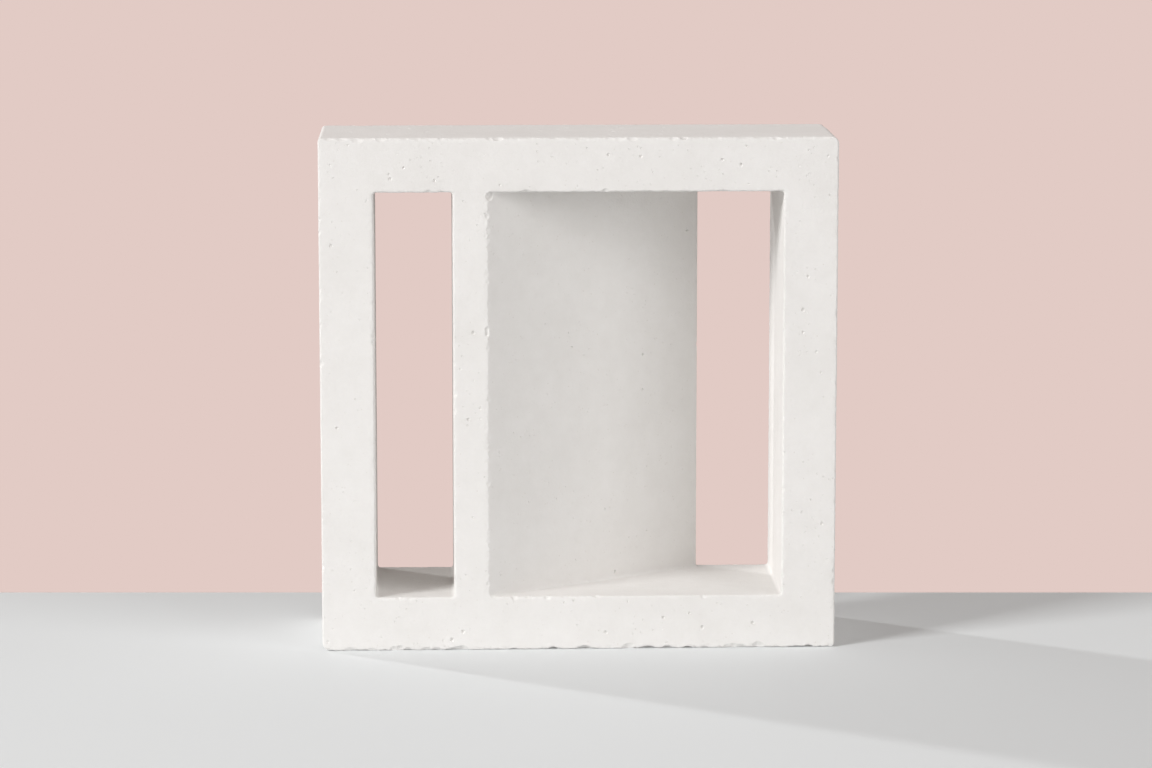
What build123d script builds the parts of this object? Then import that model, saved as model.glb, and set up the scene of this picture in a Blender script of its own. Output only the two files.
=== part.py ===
from build123d import *
import os

# A cast concrete screen block, of the kind laid in openwork garden and facade walls.
# It is one piece: a square frame crossed from bed to bed by one solid upright web.
# The web's left side runs straight back and its right side slants, so the web is a
# narrow nose on face A and a wide panel on face B. The slot at its left has straight
# walls, and the opening at its right narrows from face A to the same slot on face B.
# The web's back edge on that side is a blunt rounded lip.
#
# The block stands on its lower bed. Seen on face A, X is to the right and Y runs into
# the block. Z is up, and the origin is at the middle of the lower bed.
# Lengths are in millimetres.

# The whole block, made for a 300 mm module with 10 mm joints
block_width = 290.0
block_height = 290.0
block_depth = 90.0

# The frame: its two end walls and its two beds
end_wall = 30.5
bed_wall = 30.5

# The web, between a slot right through the block and the equal slot on face B
slot_width = 44.0
web_nose = 19.5

# The lip's tip before it is rounded: how far it is from face B, and how far it stands
# out over the slot there
lip_depth = 6.0
lip_reach = 2.5

# Rounded edges and corners that the mould leaves
outer_radius = 2.0
core_radius = 1.5
lip_radius = 4.0
arris_radius = 1.0

# How far each mould core runs out past the two faces
core_overrun = 10.0

# Places that follow from the sizes above
opening_width = block_width - 2 * end_wall
opening_height = block_height - 2 * bed_wall
opening_left = -opening_width / 2
opening_right = opening_width / 2
web_left = opening_left + slot_width
nose_right = web_left + web_nose
panel_right = opening_right - slot_width
face_a = -block_depth / 2
face_b = block_depth / 2
mid_height = block_height / 2


def block_blank():
    """The block without openings, its four outer corners rounded through the depth."""
    outline = Pos(0, mid_height) * RectangleRounded(block_width, block_height, outer_radius)
    return extrude(Plane.XZ * outline, amount=block_depth / 2, both=True)


def straight_core():
    """The core of the left slot, the same section from face to face."""
    middle = opening_left + slot_width / 2
    section = RectangleRounded(slot_width, opening_height, core_radius)
    section = Plane.XZ * Pos(middle, mid_height) * section
    return extrude(section, amount=block_depth / 2 + core_overrun, both=True)


def tapered_core():
    """The core of the right opening, wide at face A and as wide as a slot at face B."""
    tip = (panel_right + lip_reach, face_b - lip_depth)
    slant = (tip[0] - nose_right) / (tip[1] - face_a)
    lean = lip_reach / lip_depth
    front = face_a - core_overrun
    back = face_b + core_overrun
    plan = Polygon(
        (nose_right - slant * core_overrun, front),
        (opening_right, front),
        (opening_right, back),
        (panel_right - lean * core_overrun, back),
        tip,
        align=None,
    )
    lip = plan.vertices().sort_by_distance(tip)[0]
    plan = fillet(lip, lip_radius)
    core = extrude(Pos(0, 0, bed_wall) * plan, amount=opening_height)
    level_edges = core.faces().filter_by(Axis.Z).edges()
    end_edges = core.faces().filter_by(Axis.Y).edges()
    return fillet(level_edges - end_edges, core_radius)


def soften_arrises(block):
    """Every edge round face A, face B and the openings in them, slightly rounded."""
    faces = block.faces().filter_by(Axis.Y).sort_by(Axis.Y)
    edges = faces[0].edges() + faces[-1].edges()
    return fillet(edges, arris_radius)


def concrete_block():
    """The whole cast piece."""
    block = block_blank() - straight_core() - tapered_core()
    return soften_arrises(block)


os.makedirs("parts", exist_ok=True)
piece = concrete_block()
piece.label = "concrete_block"
export_step(piece, "parts/concrete_block.step")
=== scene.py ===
"""A white cast concrete screen block, standing on a pale table top in soft studio light."""
import itertools
import math

import bpy
import numpy as np
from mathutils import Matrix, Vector


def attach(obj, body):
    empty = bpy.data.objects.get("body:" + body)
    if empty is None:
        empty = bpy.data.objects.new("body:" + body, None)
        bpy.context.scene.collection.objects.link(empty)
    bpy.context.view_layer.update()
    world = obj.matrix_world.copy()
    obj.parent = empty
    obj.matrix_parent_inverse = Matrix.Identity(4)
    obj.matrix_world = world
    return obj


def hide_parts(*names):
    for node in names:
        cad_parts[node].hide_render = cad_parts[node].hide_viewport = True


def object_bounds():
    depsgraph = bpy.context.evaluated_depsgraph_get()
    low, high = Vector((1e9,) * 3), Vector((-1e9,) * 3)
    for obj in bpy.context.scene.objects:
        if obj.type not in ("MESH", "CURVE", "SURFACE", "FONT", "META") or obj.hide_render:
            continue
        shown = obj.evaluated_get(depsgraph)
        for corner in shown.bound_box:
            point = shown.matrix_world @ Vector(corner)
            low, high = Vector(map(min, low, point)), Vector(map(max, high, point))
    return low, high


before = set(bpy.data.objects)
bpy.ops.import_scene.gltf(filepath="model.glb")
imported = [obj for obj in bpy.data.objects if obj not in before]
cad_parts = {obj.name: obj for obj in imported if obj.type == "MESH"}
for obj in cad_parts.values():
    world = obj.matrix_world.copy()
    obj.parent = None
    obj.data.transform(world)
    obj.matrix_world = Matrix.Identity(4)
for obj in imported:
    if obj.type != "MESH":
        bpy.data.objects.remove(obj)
cad_low, cad_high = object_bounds()

MM = 0.001
NODE = "concrete_block"
IMAGE_WIDTH = 1152
IMAGE_HEIGHT = 768

# Sizes of the block inside its outline, as the construction has them
MEMBER = 30.5 * MM
SLOT = 44.0 * MM
NOSE = 19.5 * MM
LIP_DEPTH = 6.0 * MM
LIP_REACH = 2.5 * MM
LIP_RADIUS = 4.0 * MM
ARRIS = 1.0 * MM
OUTER_RADIUS = 2.0 * MM

# Places that follow from the sizes. Face A is the front, and face B is the back.
LEFT = cad_low.x
RIGHT = cad_high.x
FRONT = cad_low.y
BACK = cad_high.y
TOP = cad_high.z
MID_HEIGHT = TOP / 2
OPENING_LEFT = LEFT + MEMBER
OPENING_RIGHT = RIGHT - MEMBER
OPENING_LOW = MEMBER
OPENING_HIGH = TOP - MEMBER
WEB_LEFT = OPENING_LEFT + SLOT
NOSE_RIGHT = WEB_LEFT + NOSE
PANEL_RIGHT = OPENING_RIGHT - SLOT
LIP_TIP = (PANEL_RIGHT + LIP_REACH, BACK - LIP_DEPTH)


# Camera

# Where the photograph was taken from, seen from the block's middle, and how much of
# the picture's height the block takes here
CAMERA_LEFT = 0.085
CAMERA_BACK = 2.122
CAMERA_HEIGHT = 0.468
BLOCK_SHARE = 0.66
SENSOR_WIDTH = 36.0

MIDDLE = (cad_low + cad_high) / 2
CAMERA_PLACE = Vector((-CAMERA_LEFT, FRONT - CAMERA_BACK, CAMERA_HEIGHT))


def add_camera():
    """The photograph's place and direction, with a lens that brings the block close."""
    away = MIDDLE - CAMERA_PLACE
    picture_height = TOP / BLOCK_SHARE
    data = bpy.data.cameras.new("camera")
    data.sensor_width = SENSOR_WIDTH
    data.lens = SENSOR_WIDTH * IMAGE_HEIGHT / IMAGE_WIDTH * away.length / picture_height
    camera = bpy.data.objects.new("camera", data)
    camera.location = CAMERA_PLACE
    camera.rotation_euler = away.to_track_quat("-Z", "Y").to_euler()
    bpy.context.scene.collection.objects.link(camera)
    bpy.context.scene.camera = camera


# Stage and light

TABLE_GREY = (0.80, 0.825, 0.835)
TABLE_ROUGHNESS = 0.85
TABLE_SPECULAR = 0.1
TABLE_WIDTH = 2.2
TABLE_DEPTH = 1.3
TABLE_BACK_EDGE = 0.1144
WALL_PINK = (0.76, 0.597, 0.558)
AMBIENT_COLOUR = (1.0, 0.90, 0.845)
AMBIENT_LEVEL = 0.255
SOFTBOX_DISTANCE = 5.0


def add_table():
    """The pale table top. It ends close behind the block, on a line level in the view."""
    ahead = (MIDDLE - CAMERA_PLACE) * Vector((1.0, 1.0, 0.0))
    ahead.normalize()
    aside = Vector((ahead.y, -ahead.x, 0.0)) * TABLE_WIDTH / 2
    edge_middle = Vector((0.0, TABLE_BACK_EDGE, 0.0))
    near_middle = edge_middle - ahead * TABLE_DEPTH
    corners = [
        near_middle - aside,
        near_middle + aside,
        edge_middle + aside,
        edge_middle - aside,
    ]
    mesh = bpy.data.meshes.new("table_top")
    mesh.from_pydata(corners, [], [(0, 1, 2, 3)])
    table = bpy.data.objects.new("table_top", mesh)
    bpy.context.scene.collection.objects.link(table)
    material = bpy.data.materials.new("table_paper")
    material.use_nodes = True
    shader = material.node_tree.nodes["Principled BSDF"]
    shader.inputs["Base Color"].default_value = (*TABLE_GREY, 1.0)
    shader.inputs["Roughness"].default_value = TABLE_ROUGHNESS
    shader.inputs["Specular IOR Level"].default_value = TABLE_SPECULAR
    mesh.materials.append(material)


def background(tree, colour, strength):
    """A plain world of this colour. At strength 1 it shows as the colour itself."""
    node = tree.nodes.new("ShaderNodeBackground")
    node.inputs["Color"].default_value = (*colour, 1.0)
    node.inputs["Strength"].default_value = strength
    return node.outputs["Background"]


def either(tree, first, second):
    """1 where at least one of two conditions is 1."""
    node = tree.nodes.new("ShaderNodeMath")
    node.operation = "MAXIMUM"
    tree.links.new(first, node.inputs[0])
    tree.links.new(second, node.inputs[1])
    return node.outputs["Value"]


def add_world():
    """Even light from all round, and the pale pink wall where the camera looks past or
    sees a reflection."""
    world = bpy.data.worlds.new("studio")
    world.use_nodes = True
    tree = world.node_tree
    tree.nodes.clear()
    rays = tree.nodes.new("ShaderNodeLightPath")
    reflected = either(tree, rays.outputs["Is Glossy Ray"], rays.outputs["Is Transmission Ray"])
    seen = either(tree, rays.outputs["Is Camera Ray"], reflected)
    mix = tree.nodes.new("ShaderNodeMixShader")
    tree.links.new(seen, mix.inputs[0])
    tree.links.new(background(tree, AMBIENT_COLOUR, AMBIENT_LEVEL), mix.inputs[1])
    tree.links.new(background(tree, WALL_PINK, 1.0), mix.inputs[2])
    output = tree.nodes.new("ShaderNodeOutputWorld")
    tree.links.new(mix.outputs["Shader"], output.inputs["Surface"])
    bpy.context.scene.world = world


def add_sun(name, travel, spread, level):
    """Light from far away, by the direction that it travels in, and the angle that it
    fills. Level 1 lights a white surface that faces it as bright as white."""
    data = bpy.data.lights.new(name, "SUN")
    data.energy = level * math.pi
    data.angle = math.radians(spread)
    lamp = bpy.data.objects.new(name, data)
    lamp.rotation_euler = Vector(travel).to_track_quat("-Z", "Y").to_euler()
    bpy.context.scene.collection.objects.link(lamp)


def add_softbox(name, aside, above, spread, level):
    """A square lamp far in front of the block, by the angles that it stands to the right
    and above, and the angle that it fills. Level 1 lights a white surface that faces it,
    where the block stands, as bright as white."""
    aside, above, spread = map(math.radians, (aside, above, spread))
    toward = Vector((math.sin(aside) * math.cos(above),
                     -math.cos(aside) * math.cos(above),
                     math.sin(above)))
    data = bpy.data.lights.new(name, "AREA")
    data.shape = "SQUARE"
    data.size = 2 * SOFTBOX_DISTANCE * math.tan(spread / 2)
    data.energy = level * math.pi * math.pi * SOFTBOX_DISTANCE ** 2
    lamp = bpy.data.objects.new(name, data)
    lamp.location = MIDDLE + toward * SOFTBOX_DISTANCE
    lamp.rotation_euler = (-toward).to_track_quat("-Z", "Y").to_euler()
    bpy.context.scene.collection.objects.link(lamp)


# Random values

SEED = 41

# Each use of the lumps has seeds of its own, one for each size of lump.
WAVE_SEED = SEED
ARRIS_SEED = SEED + 2
CHIP_SEED = SEED + 5
PIT_SEED = SEED + 7
CROWD_SEED = SEED + 8

# How many lumps there are each way before they repeat
LATTICE = 48


def lumps(points, size, seed):
    """Smooth random values from -1 to 1 at the points, in lumps of about this size."""
    table = np.random.default_rng(seed).uniform(-1.0, 1.0, (LATTICE, LATTICE, LATTICE))
    place = points / size
    cell = np.floor(place).astype(int)
    part = place - cell
    part = part * part * (3.0 - 2.0 * part)
    cells = (cell % LATTICE, (cell + 1) % LATTICE)
    shares = (1.0 - part, part)
    result = np.zeros(len(points))
    for i, j, k in itertools.product((0, 1), repeat=3):
        value = table[cells[i][:, 0], cells[j][:, 1], cells[k][:, 2]]
        result += value * shares[i][:, 0] * shares[j][:, 1] * shares[k][:, 2]
    return result


def mixed_lumps(points, sizes, seed):
    """Lumps of several sizes added up. Each size comes with its strength."""
    result = 0.0
    for number, (strength, size) in enumerate(sizes):
        result = result + strength * lumps(points, size, seed + number)
    return result


# Where the block's edges are

# Each opening's middle and half width on a face. All reach from bed to bed.
SLOT_LEFT_ON_FACE = ((OPENING_LEFT + WEB_LEFT) / 2, SLOT / 2)
SLOT_RIGHT_ON_FACE = ((PANEL_RIGHT + OPENING_RIGHT) / 2, SLOT / 2)
WIDE_ON_FACE = ((NOSE_RIGHT + OPENING_RIGHT) / 2, (OPENING_RIGHT - NOSE_RIGHT) / 2)
HALF_OPENING_HEIGHT = (OPENING_HIGH - OPENING_LOW) / 2
FACE_OPENINGS = {
    FRONT: (SLOT_LEFT_ON_FACE, WIDE_ON_FACE),
    BACK: (SLOT_LEFT_ON_FACE, SLOT_RIGHT_ON_FACE),
}

# The slanted side of the web from nose to lip, and the directions that its two faces
# look in at the lip
SLANT_RUN = np.array([LIP_TIP[0] - NOSE_RIGHT, LIP_TIP[1] - FRONT, 0.0])
SLANT_OUTWARD = np.array([SLANT_RUN[1], -SLANT_RUN[0], 0.0]) / np.linalg.norm(SLANT_RUN)
LIP_OUTWARD = np.array([LIP_DEPTH, LIP_REACH, 0.0]) / math.hypot(LIP_DEPTH, LIP_REACH)


def outline_distance(points, middle, half_width, half_height):
    """How far the points are from a rectangle's outline, seen on the face."""
    across = np.abs(points[:, 0] - middle) - half_width
    up = np.abs(points[:, 2] - MID_HEIGHT) - half_height
    outside = np.hypot(np.maximum(across, 0.0), np.maximum(up, 0.0))
    inside = np.minimum(np.maximum(across, up), 0.0)
    return np.abs(outside + inside)


def arris_distance(points):
    """How far the points are from the nearest edge of the block, apart from the lip."""
    across = np.abs(points[:, 0]) - RIGHT
    up = np.abs(points[:, 2] - MID_HEIGHT) - MID_HEIGHT
    nearest = np.hypot(across, up)
    for plane, openings in FACE_OPENINGS.items():
        on_face = outline_distance(points, 0.0, RIGHT, MID_HEIGHT)
        for middle, half_width in openings:
            to_opening = outline_distance(points, middle, half_width, HALF_OPENING_HEIGHT)
            on_face = np.minimum(on_face, to_opening)
        nearest = np.minimum(nearest, np.hypot(on_face, points[:, 1] - plane))
    return nearest


# Wear

# How round the outer corners are worn on face A, by end and bed. The fourth is as cast.
WORN_CORNERS = ((LEFT, 0.0, 4.6 * MM), (RIGHT, TOP, 4.0 * MM), (RIGHT, 0.0, 2.5 * MM))
CORNER_WEAR_DEPTH = 60 * MM

# Slight waves all over: how deep, and the strengths and sizes of their lumps
WAVE_DEPTH = 0.10 * MM
WAVE_LUMPS = ((1.0, 55 * MM), (0.5, 18 * MM))

# Ragged edges: how deep, how far from the edge, and the strengths and sizes of their
# lumps. An edge at a bed is worn this many times deeper.
ARRIS_WEAR = 0.26 * MM
ARRIS_REACH = 2.4 * MM
ARRIS_LUMPS = ((0.9, 5.5 * MM), (1.0, 2.2 * MM), (0.8, 1.1 * MM))
BED_EDGE_WEAR = 1.9

# The edges' wear where their lumps are 0, and the most that the lumps bring it to
MIDDLE_WEAR = 0.35
MOST_WEAR = 2.5


def wear_corners(points):
    """Rounds the outer corners further, most at face A, and less towards face B."""
    depth = points[:, 1] - FRONT
    ease = np.clip(depth / CORNER_WEAR_DEPTH, 0.0, 1.0)
    near_face = np.clip(1.0 - depth / ARRIS, 0.0, 1.0)
    arris = ARRIS * (1.0 - np.sqrt(1.0 - near_face ** 2))
    for x, z, worn in WORN_CORNERS:
        radius = worn + (OUTER_RADIUS - worn) * ease
        across = radius - np.abs(points[:, 0] - x)
        up = radius - np.abs(points[:, 2] - z)
        distance = np.hypot(across, up)
        limit = radius - arris
        outside = np.flatnonzero((across > 0.0) & (up > 0.0) & (distance > limit))
        share = 1.0 - limit[outside] / distance[outside]
        points[outside, 0] -= math.copysign(1.0, x) * across[outside] * share
        points[outside, 2] += (1.0 if z == 0.0 else -1.0) * up[outside] * share


def wear_surface(points, normals):
    """Takes a little off unevenly: slight waves all over, and ragged edges."""
    # The waves lie between -1.5 and 1.5, so they take between nothing and their full depth.
    waves = mixed_lumps(points, WAVE_LUMPS, WAVE_SEED)
    depth = WAVE_DEPTH * (0.5 + 0.33 * waves)
    distance = arris_distance(points)
    near = np.flatnonzero(distance < ARRIS_REACH)
    edge = points[near]
    share = 1.0 - distance[near] / ARRIS_REACH
    rough = mixed_lumps(edge, ARRIS_LUMPS, ARRIS_SEED)
    at_bed = np.minimum(edge[:, 2], TOP - edge[:, 2]) < ARRIS_REACH
    wear = ARRIS_WEAR * np.where(at_bed, BED_EDGE_WEAR, 1.0)
    depth[near] += wear * share * np.clip(MIDDLE_WEAR + rough, 0.0, MOST_WEAR)
    return points - normals * depth[:, None]


# Chips and air holes

# How uneven a chip is, and the strengths and sizes of its lumps
CHIP_UNEVENNESS = 0.12 * MM
CHIP_LUMPS = ((1.0, 2.6 * MM), (0.7, 1.1 * MM))

# How uneven an air hole's radius is, as a share of it
PIT_UNEVENNESS = 0.25

# How many times its radius a chip or a hole may reach, with what is uneven
CHIP_REACH = 1.25
PIT_REACH = 1.5


class Carver:
    """Finds the points near a place quickly, and moves them."""

    def __init__(self, points):
        self.points = points
        self.order = np.argsort(points[:, 0])
        self.across = points[self.order, 0]

    def near(self, place, reach):
        """The numbers of the points in a ball, and where they are from its middle."""
        ends = np.searchsorted(self.across, (place[0] - reach, place[0] + reach))
        candidates = self.order[ends[0]:ends[1]]
        offsets = self.points[candidates] - place
        chosen = (offsets ** 2).sum(axis=1) < reach * reach
        return candidates[chosen], offsets[chosen]

    def bite(self, deepest, outward, size):
        """Bites out a hollow like part of a rough ball. Its deepest place is given."""
        middle = deepest + outward * size
        chosen, offsets = self.near(middle, size * CHIP_REACH)
        if not len(chosen):
            return
        distance = np.linalg.norm(offsets, axis=1)
        rough = mixed_lumps(self.points[chosen], CHIP_LUMPS, CHIP_SEED)
        radius = size + CHIP_UNEVENNESS * rough
        pushed = np.maximum(distance, radius)
        self.points[chosen] = middle + offsets * (pushed / distance)[:, None]

    def pit(self, place, inward, radius, depth):
        """Sinks a small round hole where an air bubble lay against the mould."""
        chosen, offsets = self.near(place, radius * PIT_REACH)
        if not len(chosen):
            return
        uneven = 1.0 + PIT_UNEVENNESS * lumps(self.points[chosen], radius, PIT_SEED)
        along = offsets @ inward
        aside = np.linalg.norm(offsets - along[:, None] * inward, axis=1)
        share = np.clip(1.0 - (aside / (radius * uneven)) ** 2, 0.0, 1.0)
        self.points[chosen] += (depth * np.sqrt(share))[:, None] * inward


# Chips along an edge: how far apart they are, how deep, and how large a ball fits them.
# The beds' edges are the most damaged.
UPRIGHT_CHIPS = (9 * MM, 1.1 * MM, 2.6 * MM)
BED_CHIPS = (4 * MM, 1.6 * MM, 6.5 * MM)
OPENING_UPRIGHT_CHIPS = (16 * MM, 1.1 * MM, 2.6 * MM)
OPENING_LEVEL_CHIPS = (7 * MM, 1.1 * MM, 2.6 * MM)
CORNER_CHIPS = (14 * MM, 1.1 * MM, 2.6 * MM)
LIP_CHIPS = (20 * MM, 1.1 * MM, 2.6 * MM)
SHALLOWEST_CHIP = 0.15 * MM
SMALLEST_CHIP = 0.9 * MM

# How much larger the ball is for each length that its chip is deep, how far a chip leans
# to one face or the other, and which part of the edge's length has chips
CHIP_GROWTH = 1.6
CHIP_LEAN = (0.25, 0.75)
CHIP_STRETCH = (0.01, 0.99)


def ring_runs(plane, ring):
    """The four edges of one outline on face A or B, which is the block's or an opening's."""
    middle, half_width, half_height, sign, upright_chips, level_chips = ring
    facing = (0.0, -1.0 if plane == FRONT else 1.0, 0.0)
    low, high = MID_HEIGHT - half_height, MID_HEIGHT + half_height
    left, right = middle - half_width, middle + half_width
    runs = []
    for x, side in ((left, -sign), (right, sign)):
        aside = (side, 0.0, 0.0)
        if plane == FRONT and math.isclose(x, NOSE_RIGHT):
            aside = SLANT_OUTWARD
        runs.append(((x, plane, low), (x, plane, high), facing, aside, ARRIS, upright_chips))
    for z, side in ((low, -sign), (high, sign)):
        aside = (0.0, 0.0, side)
        runs.append(((left, plane, z), (right, plane, z), facing, aside, ARRIS, level_chips))
    return runs


def edge_runs():
    """Every straight edge: its ends, the outward directions of its two faces, the radius
    that rounds it, and its chips."""
    runs = []
    for plane, openings in FACE_OPENINGS.items():
        runs += ring_runs(plane, (0.0, RIGHT, MID_HEIGHT, 1.0, UPRIGHT_CHIPS, BED_CHIPS))
        for middle, half_width in openings:
            runs += ring_runs(plane, (middle, half_width, HALF_OPENING_HEIGHT, -1.0,
                                      OPENING_UPRIGHT_CHIPS, OPENING_LEVEL_CHIPS))
    for x, z in itertools.product((LEFT, RIGHT), (0.0, TOP)):
        beside = (math.copysign(1.0, x), 0.0, 0.0)
        above = (0.0, 0.0, 1.0 if z else -1.0)
        runs.append(((x, FRONT, z), (x, BACK, z), beside, above, OUTER_RADIUS, CORNER_CHIPS))
    runs.append(((*LIP_TIP, OPENING_LOW), (*LIP_TIP, OPENING_HIGH), SLANT_OUTWARD,
                 LIP_OUTWARD, LIP_RADIUS, LIP_CHIPS))
    return runs


def carve_edges(carver, rng):
    """Chips along every edge. Most are small."""
    for start, end, one, other, radius, (spacing, deepest, largest) in edge_runs():
        start, end, one, other = map(np.array, (start, end, one, other))
        half_turn = math.acos(np.clip(one @ other, -1.0, 1.0)) / 2
        inset = radius * (1.0 / math.cos(half_turn) - 1.0)
        middle_way = (one + other) / np.linalg.norm(one + other)
        for _ in range(round(np.linalg.norm(end - start) / spacing)):
            lean = rng.uniform(*CHIP_LEAN)
            outward = one * lean + other * (1.0 - lean)
            outward /= np.linalg.norm(outward)
            depth = SHALLOWEST_CHIP + (deepest - SHALLOWEST_CHIP) * rng.uniform() ** 3
            size = rng.uniform(SMALLEST_CHIP, largest) + CHIP_GROWTH * depth
            corner = start + (end - start) * rng.uniform(*CHIP_STRETCH)
            carver.bite(corner - middle_way * (inset + depth), outward, size)


# Holes that the photograph shows on face A, by how far to the right of the block's
# middle and how high they are, in millimetres
SEEN_HOLES = (
    (16.2, 280.3), (34.4, 279.2), (90.4, 274.6), (128.1, 211.8),
    (-59.2, 180.9), (137.2, 71.3), (98.4, 14.2), (15.0, 9.6),
)
SEEN_HOLE_RADIUS = 0.95 * MM
SEEN_HOLE_DEPTH = 0.9 * MM

# The chip that it shows on the nose, of three bites one above the other
NOSE_CHIP_PLACE = (NOSE_RIGHT - 1.0 * MM, FRONT + 0.7 * MM, 181.5 * MM)
NOSE_CHIP_STEPS = (-1.3 * MM, 0.0, 1.2 * MM)
NOSE_CHIP_OUTWARD = (0.45, -0.89, 0.0)
NOSE_CHIP_SIZE = 1.9 * MM

# The chip that it shows on the right member, beside the wide opening
MEMBER_CHIP_PLACE = (OPENING_RIGHT + 0.9 * MM, FRONT + 0.8 * MM, 90.7 * MM)
MEMBER_CHIP_OUTWARD = (-0.6, -0.8, 0.0)
MEMBER_CHIP_SIZE = 1.8 * MM


def carve_marks(carver):
    """The single holes and chips that the photograph shows on face A."""
    inward = np.array([0.0, 1.0, 0.0])
    for x, z in SEEN_HOLES:
        place = np.array([x * MM, FRONT, z * MM])
        carver.pit(place, inward, SEEN_HOLE_RADIUS, SEEN_HOLE_DEPTH)
    for step in NOSE_CHIP_STEPS:
        place = np.array(NOSE_CHIP_PLACE) + np.array([0.0, 0.0, step])
        carver.bite(place, np.array(NOSE_CHIP_OUTWARD), NOSE_CHIP_SIZE)
    carver.bite(np.array(MEMBER_CHIP_PLACE), np.array(MEMBER_CHIP_OUTWARD), MEMBER_CHIP_SIZE)


# How many air holes there are on face A, on face B, on each end and each bed, and on
# the slanted side
FRONT_PITS = 70
BACK_PITS = 420
SIDE_PITS = 60
SLANT_PITS = 26

# Their radii in millimetres
SMALLEST_PIT = 0.42
LARGEST_FACE_PIT = 1.0
LARGEST_SIDE_PIT = 1.3
LARGEST_SLANT_PIT = 0.9

# How far they are from the edges of a face and from its openings, and which part of the
# slanted side has them
PIT_INSET = 3 * MM
OPENING_MARGIN = 2.5 * MM
SLANT_STRETCH = (0.05, 0.95)

# The size of the crowds that they form on faces A and B. A hole is made where a random
# value in this range is below the lumps' value.
CROWD_SIZE = 30 * MM
CROWD_RANGE = (-0.6, 0.8)


def in_opening(plane, x, z):
    """Whether a place on face A or B lies in an opening, or close to its edge."""
    if abs(z - MID_HEIGHT) > HALF_OPENING_HEIGHT + OPENING_MARGIN:
        return False
    return any(abs(x - middle) < half_width + OPENING_MARGIN
               for middle, half_width in FACE_OPENINGS[plane])


def sink_pit(carver, rng, place, inward, largest):
    """An air hole as deep as its radius. Most are small."""
    radius = (SMALLEST_PIT + (largest - SMALLEST_PIT) * rng.uniform() ** 3) * MM
    carver.pit(place, inward, radius, radius)


def carve_face_pits(carver, rng, plane, count):
    """Air holes on face A or B, in crowds, outside its openings."""
    inward = np.array([0.0, 1.0 if plane == FRONT else -1.0, 0.0])
    made = 0
    while made < count:
        x = rng.uniform(LEFT + PIT_INSET, RIGHT - PIT_INSET)
        z = rng.uniform(PIT_INSET, TOP - PIT_INSET)
        place = np.array([x, plane, z])
        crowded = lumps(place[None, :], CROWD_SIZE, CROWD_SEED)[0]
        if in_opening(plane, x, z) or rng.uniform(*CROWD_RANGE) > crowded:
            continue
        sink_pit(carver, rng, place, inward, LARGEST_FACE_PIT)
        made += 1


def carve_pits(carver, rng):
    """Small air holes on every face, most of them on face B."""
    carve_face_pits(carver, rng, FRONT, FRONT_PITS)
    carve_face_pits(carver, rng, BACK, BACK_PITS)
    for sign in (-1.0, 1.0):
        inward = np.array([-sign, 0.0, 0.0])
        for _ in range(SIDE_PITS):
            y = rng.uniform(FRONT + PIT_INSET, BACK - PIT_INSET)
            z = rng.uniform(PIT_INSET, TOP - PIT_INSET)
            sink_pit(carver, rng, np.array([sign * RIGHT, y, z]), inward, LARGEST_SIDE_PIT)
    for height in (0.0, TOP):
        inward = np.array([0.0, 0.0, 1.0 if height == 0.0 else -1.0])
        for _ in range(SIDE_PITS):
            x = rng.uniform(LEFT + PIT_INSET, RIGHT - PIT_INSET)
            y = rng.uniform(FRONT + PIT_INSET, BACK - PIT_INSET)
            sink_pit(carver, rng, np.array([x, y, height]), inward, LARGEST_SIDE_PIT)
    for _ in range(SLANT_PITS):
        place = np.array([NOSE_RIGHT, FRONT, 0.0]) + SLANT_RUN * rng.uniform(*SLANT_STRETCH)
        place[2] = rng.uniform(OPENING_LOW + PIT_INSET, OPENING_HIGH - PIT_INSET)
        sink_pit(carver, rng, place, -SLANT_OUTWARD, LARGEST_SLANT_PIT)


# The block's mesh

VOXEL = 0.5 * MM
MOST_TRIANGLES = 194000

# Edges sharper than this many degrees stay sharp. A weight of 100 gives large faces the
# most say in a normal.
SHARP_ANGLE = 32.0
NORMAL_WEIGHT = 100


def cad_mesh_object():
    """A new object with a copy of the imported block's mesh."""
    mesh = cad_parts[NODE].data.copy()
    mesh.name = "cast_block"
    block = bpy.data.objects.new("cast_block", mesh)
    bpy.context.scene.collection.objects.link(block)
    return block


def apply_modifiers(block):
    """Puts the result of the object's modifiers into its mesh."""
    depsgraph = bpy.context.evaluated_depsgraph_get()
    result = bpy.data.meshes.new_from_object(block.evaluated_get(depsgraph))
    block.modifiers.clear()
    block.data = result


def remesh(block):
    """Rebuilds the surface from small even faces that relief can be worked into."""
    step = block.modifiers.new("even faces", "REMESH")
    step.mode = "VOXEL"
    step.voxel_size = VOXEL
    apply_modifiers(block)


def work_relief(block):
    """Works waves, ragged edges, chips and air holes into the surface."""
    mesh = block.data
    points = np.empty(len(mesh.vertices) * 3, "f4")
    mesh.vertices.foreach_get("co", points)
    points = points.reshape(-1, 3).astype(float)
    normals = np.empty(len(mesh.vertices) * 3, "f4")
    mesh.vertex_normals.foreach_get("vector", normals)
    normals = normals.reshape(-1, 3)
    wear_corners(points)
    points = wear_surface(points, normals)
    carver = Carver(points)
    rng = np.random.default_rng(SEED)
    carve_edges(carver, rng)
    carve_marks(carver)
    carve_pits(carver, rng)
    points = np.clip(carver.points, cad_low, cad_high)
    mesh.vertices.foreach_set("co", points.astype("f4").ravel())
    mesh.update()


def thin_out(block):
    """Takes faces out where the surface is flat, and keeps them in its relief."""
    triangles = len(block.data.loops) - 2 * len(block.data.polygons)
    step = block.modifiers.new("fewer faces", "DECIMATE")
    step.ratio = min(1.0, MOST_TRIANGLES / triangles)
    apply_modifiers(block)


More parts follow.
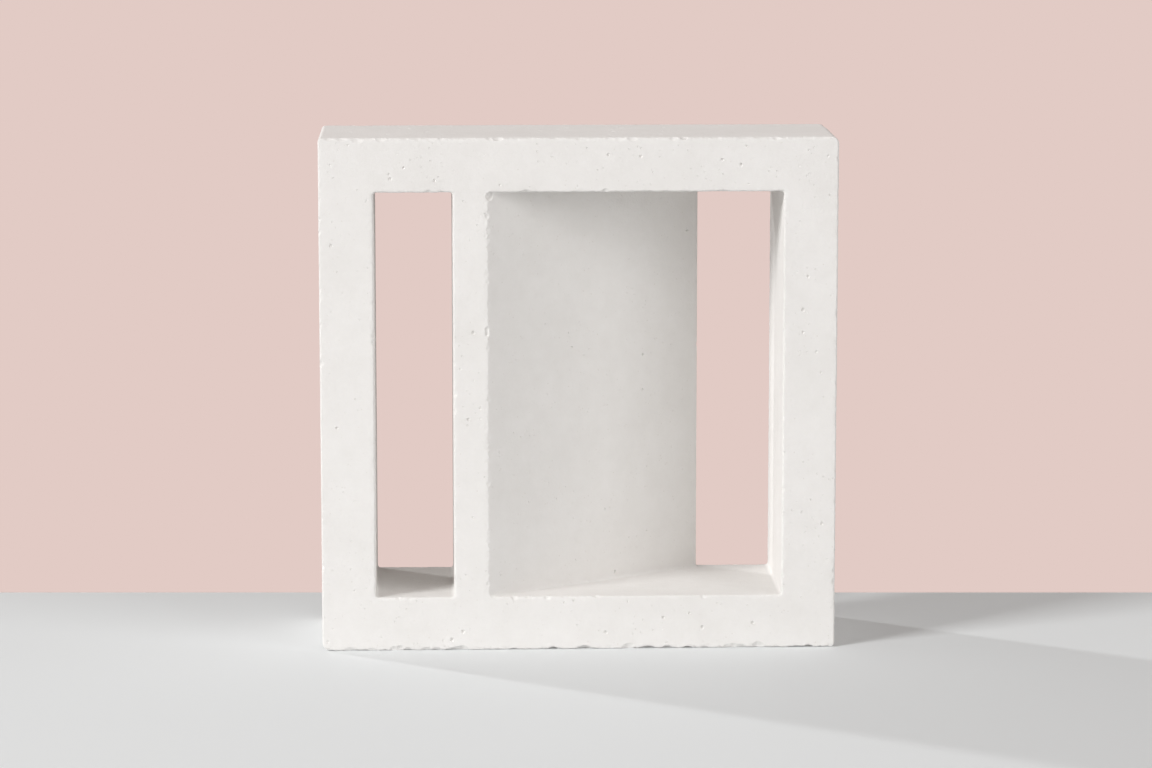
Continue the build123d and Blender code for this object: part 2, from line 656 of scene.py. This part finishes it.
def shade(block):
    """Smooth shading in which large flat faces stay flat beside small uneven ones."""
    block.data.shade_smooth()
    block.data.set_sharp_from_angle(angle=math.radians(SHARP_ANGLE))
    step = block.modifiers.new("normals by area", "WEIGHTED_NORMAL")
    step.weight = NORMAL_WEIGHT
    step.keep_sharp = True
    apply_modifiers(block)


def add_block():
    """The cast block, with the relief of its surface."""
    block = cad_mesh_object()
    remesh(block)
    work_relief(block)
    thin_out(block)
    shade(block)
    block.data.materials.clear()
    block.data.materials.append(concrete())
    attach(block, "root")
    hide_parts(NODE)


# What the concrete looks like

CONCRETE_LIGHT = (0.852, 0.840, 0.824)
CONCRETE_DARK = (0.802, 0.788, 0.767)
GRIT_COLOUR = (0.66, 0.63, 0.585)

# How far each size of cloud and the grit bring the colour towards the darker one
BROAD_CLOUD_SHARE = 0.6
CLOSE_CLOUD_SHARE = 0.4
GRIT_SHARE = 0.45

# Sizes of the clouds, the sand grain, and the crowds that grit and pinholes form
BROAD_CLOUD = 48 * MM
CLOSE_CLOUD = 9 * MM
SAND_GRAIN = 1.1 * MM
GRIT_CROWD = 5 * MM
PINHOLE_CROWD = 12 * MM

# How far apart grit and pinholes are, and from where to where they fade, in such steps
GRIT_STEP = 2.6 * MM
GRIT_EDGE = (0.10, 0.20)
PINHOLE_STEP = 3.4 * MM
PINHOLE_EDGE = (0.07, 0.16)

# The values between which nearly all of a cloud lies, and those between which crowds of
# grit and of pinholes begin
CLOUD_RANGE = (0.3, 0.7)
GRIT_CROWD_RANGE = (0.56, 0.66)
PINHOLE_CROWD_RANGE = (0.50, 0.60)

ROUGHNESS_RANGE = (0.84, 0.95)

# Relief that only the light sees: the sizes of dents, and how deep each kind is
WIDE_DENT = 14 * MM
SMALL_DENT = 3.2 * MM
WIDE_DENT_DEPTH = 0.25 * MM
SMALL_DENT_DEPTH = 0.16 * MM
SAND_DEPTH = 0.15 * MM
PINHOLE_DEPTH = 0.25 * MM


class Nodes:
    """Adds nodes to a material and joins them."""

    def __init__(self, name):
        self.material = bpy.data.materials.new(name)
        self.material.use_nodes = True
        self.tree = self.material.node_tree
        self.shader = self.tree.nodes["Principled BSDF"]
        self.coords = self.tree.nodes.new("ShaderNodeTexCoord").outputs["Object"]

    def put(self, value, socket):
        """Joins a node's result to a socket, or sets the socket to a number."""
        if isinstance(value, bpy.types.NodeSocket):
            self.tree.links.new(value, socket)
        else:
            socket.default_value = value

    def noise(self, size, detail=2.0, roughness=0.5, offset=0.0):
        """Cloudy values from 0 to 1, in lumps of about this size. The offset in metres
        sets them apart from other clouds."""
        shift = self.tree.nodes.new("ShaderNodeVectorMath")
        self.put(self.coords, shift.inputs[0])
        shift.inputs[1].default_value = (offset, offset, offset)
        node = self.tree.nodes.new("ShaderNodeTexNoise")
        self.put(shift.outputs["Vector"], node.inputs["Vector"])
        node.inputs["Scale"].default_value = 1.0 / size
        node.inputs["Detail"].default_value = detail
        node.inputs["Roughness"].default_value = roughness
        return node.outputs["Fac"]

    def cells(self, step):
        """How far a place is from the nearest of many points about this step apart, in
        such steps."""
        node = self.tree.nodes.new("ShaderNodeTexVoronoi")
        self.put(self.coords, node.inputs["Vector"])
        node.inputs["Scale"].default_value = 1.0 / step
        return node.outputs["Distance"]

    def span(self, value, limits, results=(0.0, 1.0), smooth=False):
        """Brings values between two limits to a new range, held at its ends."""
        node = self.tree.nodes.new("ShaderNodeMapRange")
        node.interpolation_type = "SMOOTHSTEP" if smooth else "LINEAR"
        for number, socket in zip((value, *limits, *results), node.inputs):
            self.put(number, socket)
        return node.outputs["Result"]

    def math(self, operation, first, second):
        """One sum, product or comparison."""
        node = self.tree.nodes.new("ShaderNodeMath")
        node.operation = operation
        self.put(first, node.inputs[0])
        self.put(second, node.inputs[1])
        return node.outputs["Value"]

    def mix(self, share, first, second):
        """A colour between two others."""
        node = self.tree.nodes.new("ShaderNodeMix")
        node.data_type = "RGBA"
        self.put(share, node.inputs["Factor"])
        for colour, name in ((first, "A"), (second, "B")):
            socket = [s for s in node.inputs if s.name == name and s.type == "RGBA"][0]
            if isinstance(colour, tuple):
                colour = (*colour, 1.0)
            self.put(colour, socket)
        return [s for s in node.outputs if s.type == "RGBA"][0]

    def bump(self, height, depth, normal=None):
        """Relief that only the light sees, on top of other such relief."""
        node = self.tree.nodes.new("ShaderNodeBump")
        self.put(height, node.inputs["Height"])
        node.inputs["Distance"].default_value = depth
        if normal is not None:
            self.put(normal, node.inputs["Normal"])
        return node.outputs["Normal"]


def concrete_colour(nodes, close):
    """Cloudy off-white with crowds of darker grit."""
    broad = nodes.noise(BROAD_CLOUD, detail=3.0, roughness=0.55)
    cloudy = nodes.math("ADD", nodes.span(broad, CLOUD_RANGE, (0.0, BROAD_CLOUD_SHARE)),
                        nodes.span(close, CLOUD_RANGE, (0.0, CLOSE_CLOUD_SHARE)))
    colour = nodes.mix(cloudy, CONCRETE_LIGHT, CONCRETE_DARK)
    grit = nodes.span(nodes.cells(GRIT_STEP), GRIT_EDGE, (1.0, 0.0))
    crowd = nodes.span(nodes.noise(GRIT_CROWD, detail=1.0, offset=1.1), GRIT_CROWD_RANGE)
    share = nodes.math("MULTIPLY", nodes.math("MULTIPLY", grit, crowd), GRIT_SHARE)
    return nodes.mix(share, colour, GRIT_COLOUR)


def concrete_relief(nodes):
    """Slight dents, sand grain, and crowds of pinholes."""
    normal = nodes.bump(nodes.noise(WIDE_DENT, offset=2.3), WIDE_DENT_DEPTH)
    small_dents = nodes.noise(SMALL_DENT, roughness=0.55, offset=2.9)
    normal = nodes.bump(small_dents, SMALL_DENT_DEPTH, normal)
    sand = nodes.noise(SAND_GRAIN, roughness=0.6, offset=0.7)
    normal = nodes.bump(sand, SAND_DEPTH, normal)
    outside = nodes.span(nodes.cells(PINHOLE_STEP), PINHOLE_EDGE, smooth=True)
    crowd = nodes.span(nodes.noise(PINHOLE_CROWD, roughness=0.6, offset=1.9),
                       PINHOLE_CROWD_RANGE)
    height = nodes.math("MAXIMUM", outside, nodes.math("SUBTRACT", 1.0, crowd))
    return nodes.bump(height, PINHOLE_DEPTH, normal)


def concrete():
    """Fine white cast concrete."""
    nodes = Nodes("white_cast_concrete")
    close = nodes.noise(CLOSE_CLOUD, detail=3.0, roughness=0.6, offset=0.3)
    roughness = nodes.span(close, CLOUD_RANGE, ROUGHNESS_RANGE)
    nodes.put(concrete_colour(nodes, close), nodes.shader.inputs["Base Color"])
    nodes.put(roughness, nodes.shader.inputs["Roughness"])
    nodes.put(concrete_relief(nodes), nodes.shader.inputs["Normal"])
    return nodes.material


bpy.context.scene.view_settings.view_transform = "Standard"
add_camera()
add_table()
add_world()
add_sun("key_back_left", travel=(0.70, -0.526, -0.485), spread=2.5, level=0.23)
add_softbox("softbox_front_left", aside=-57, above=26, spread=17, level=0.74)
add_softbox("softbox_front_right", aside=48, above=22, spread=34, level=0.368)
add_block()
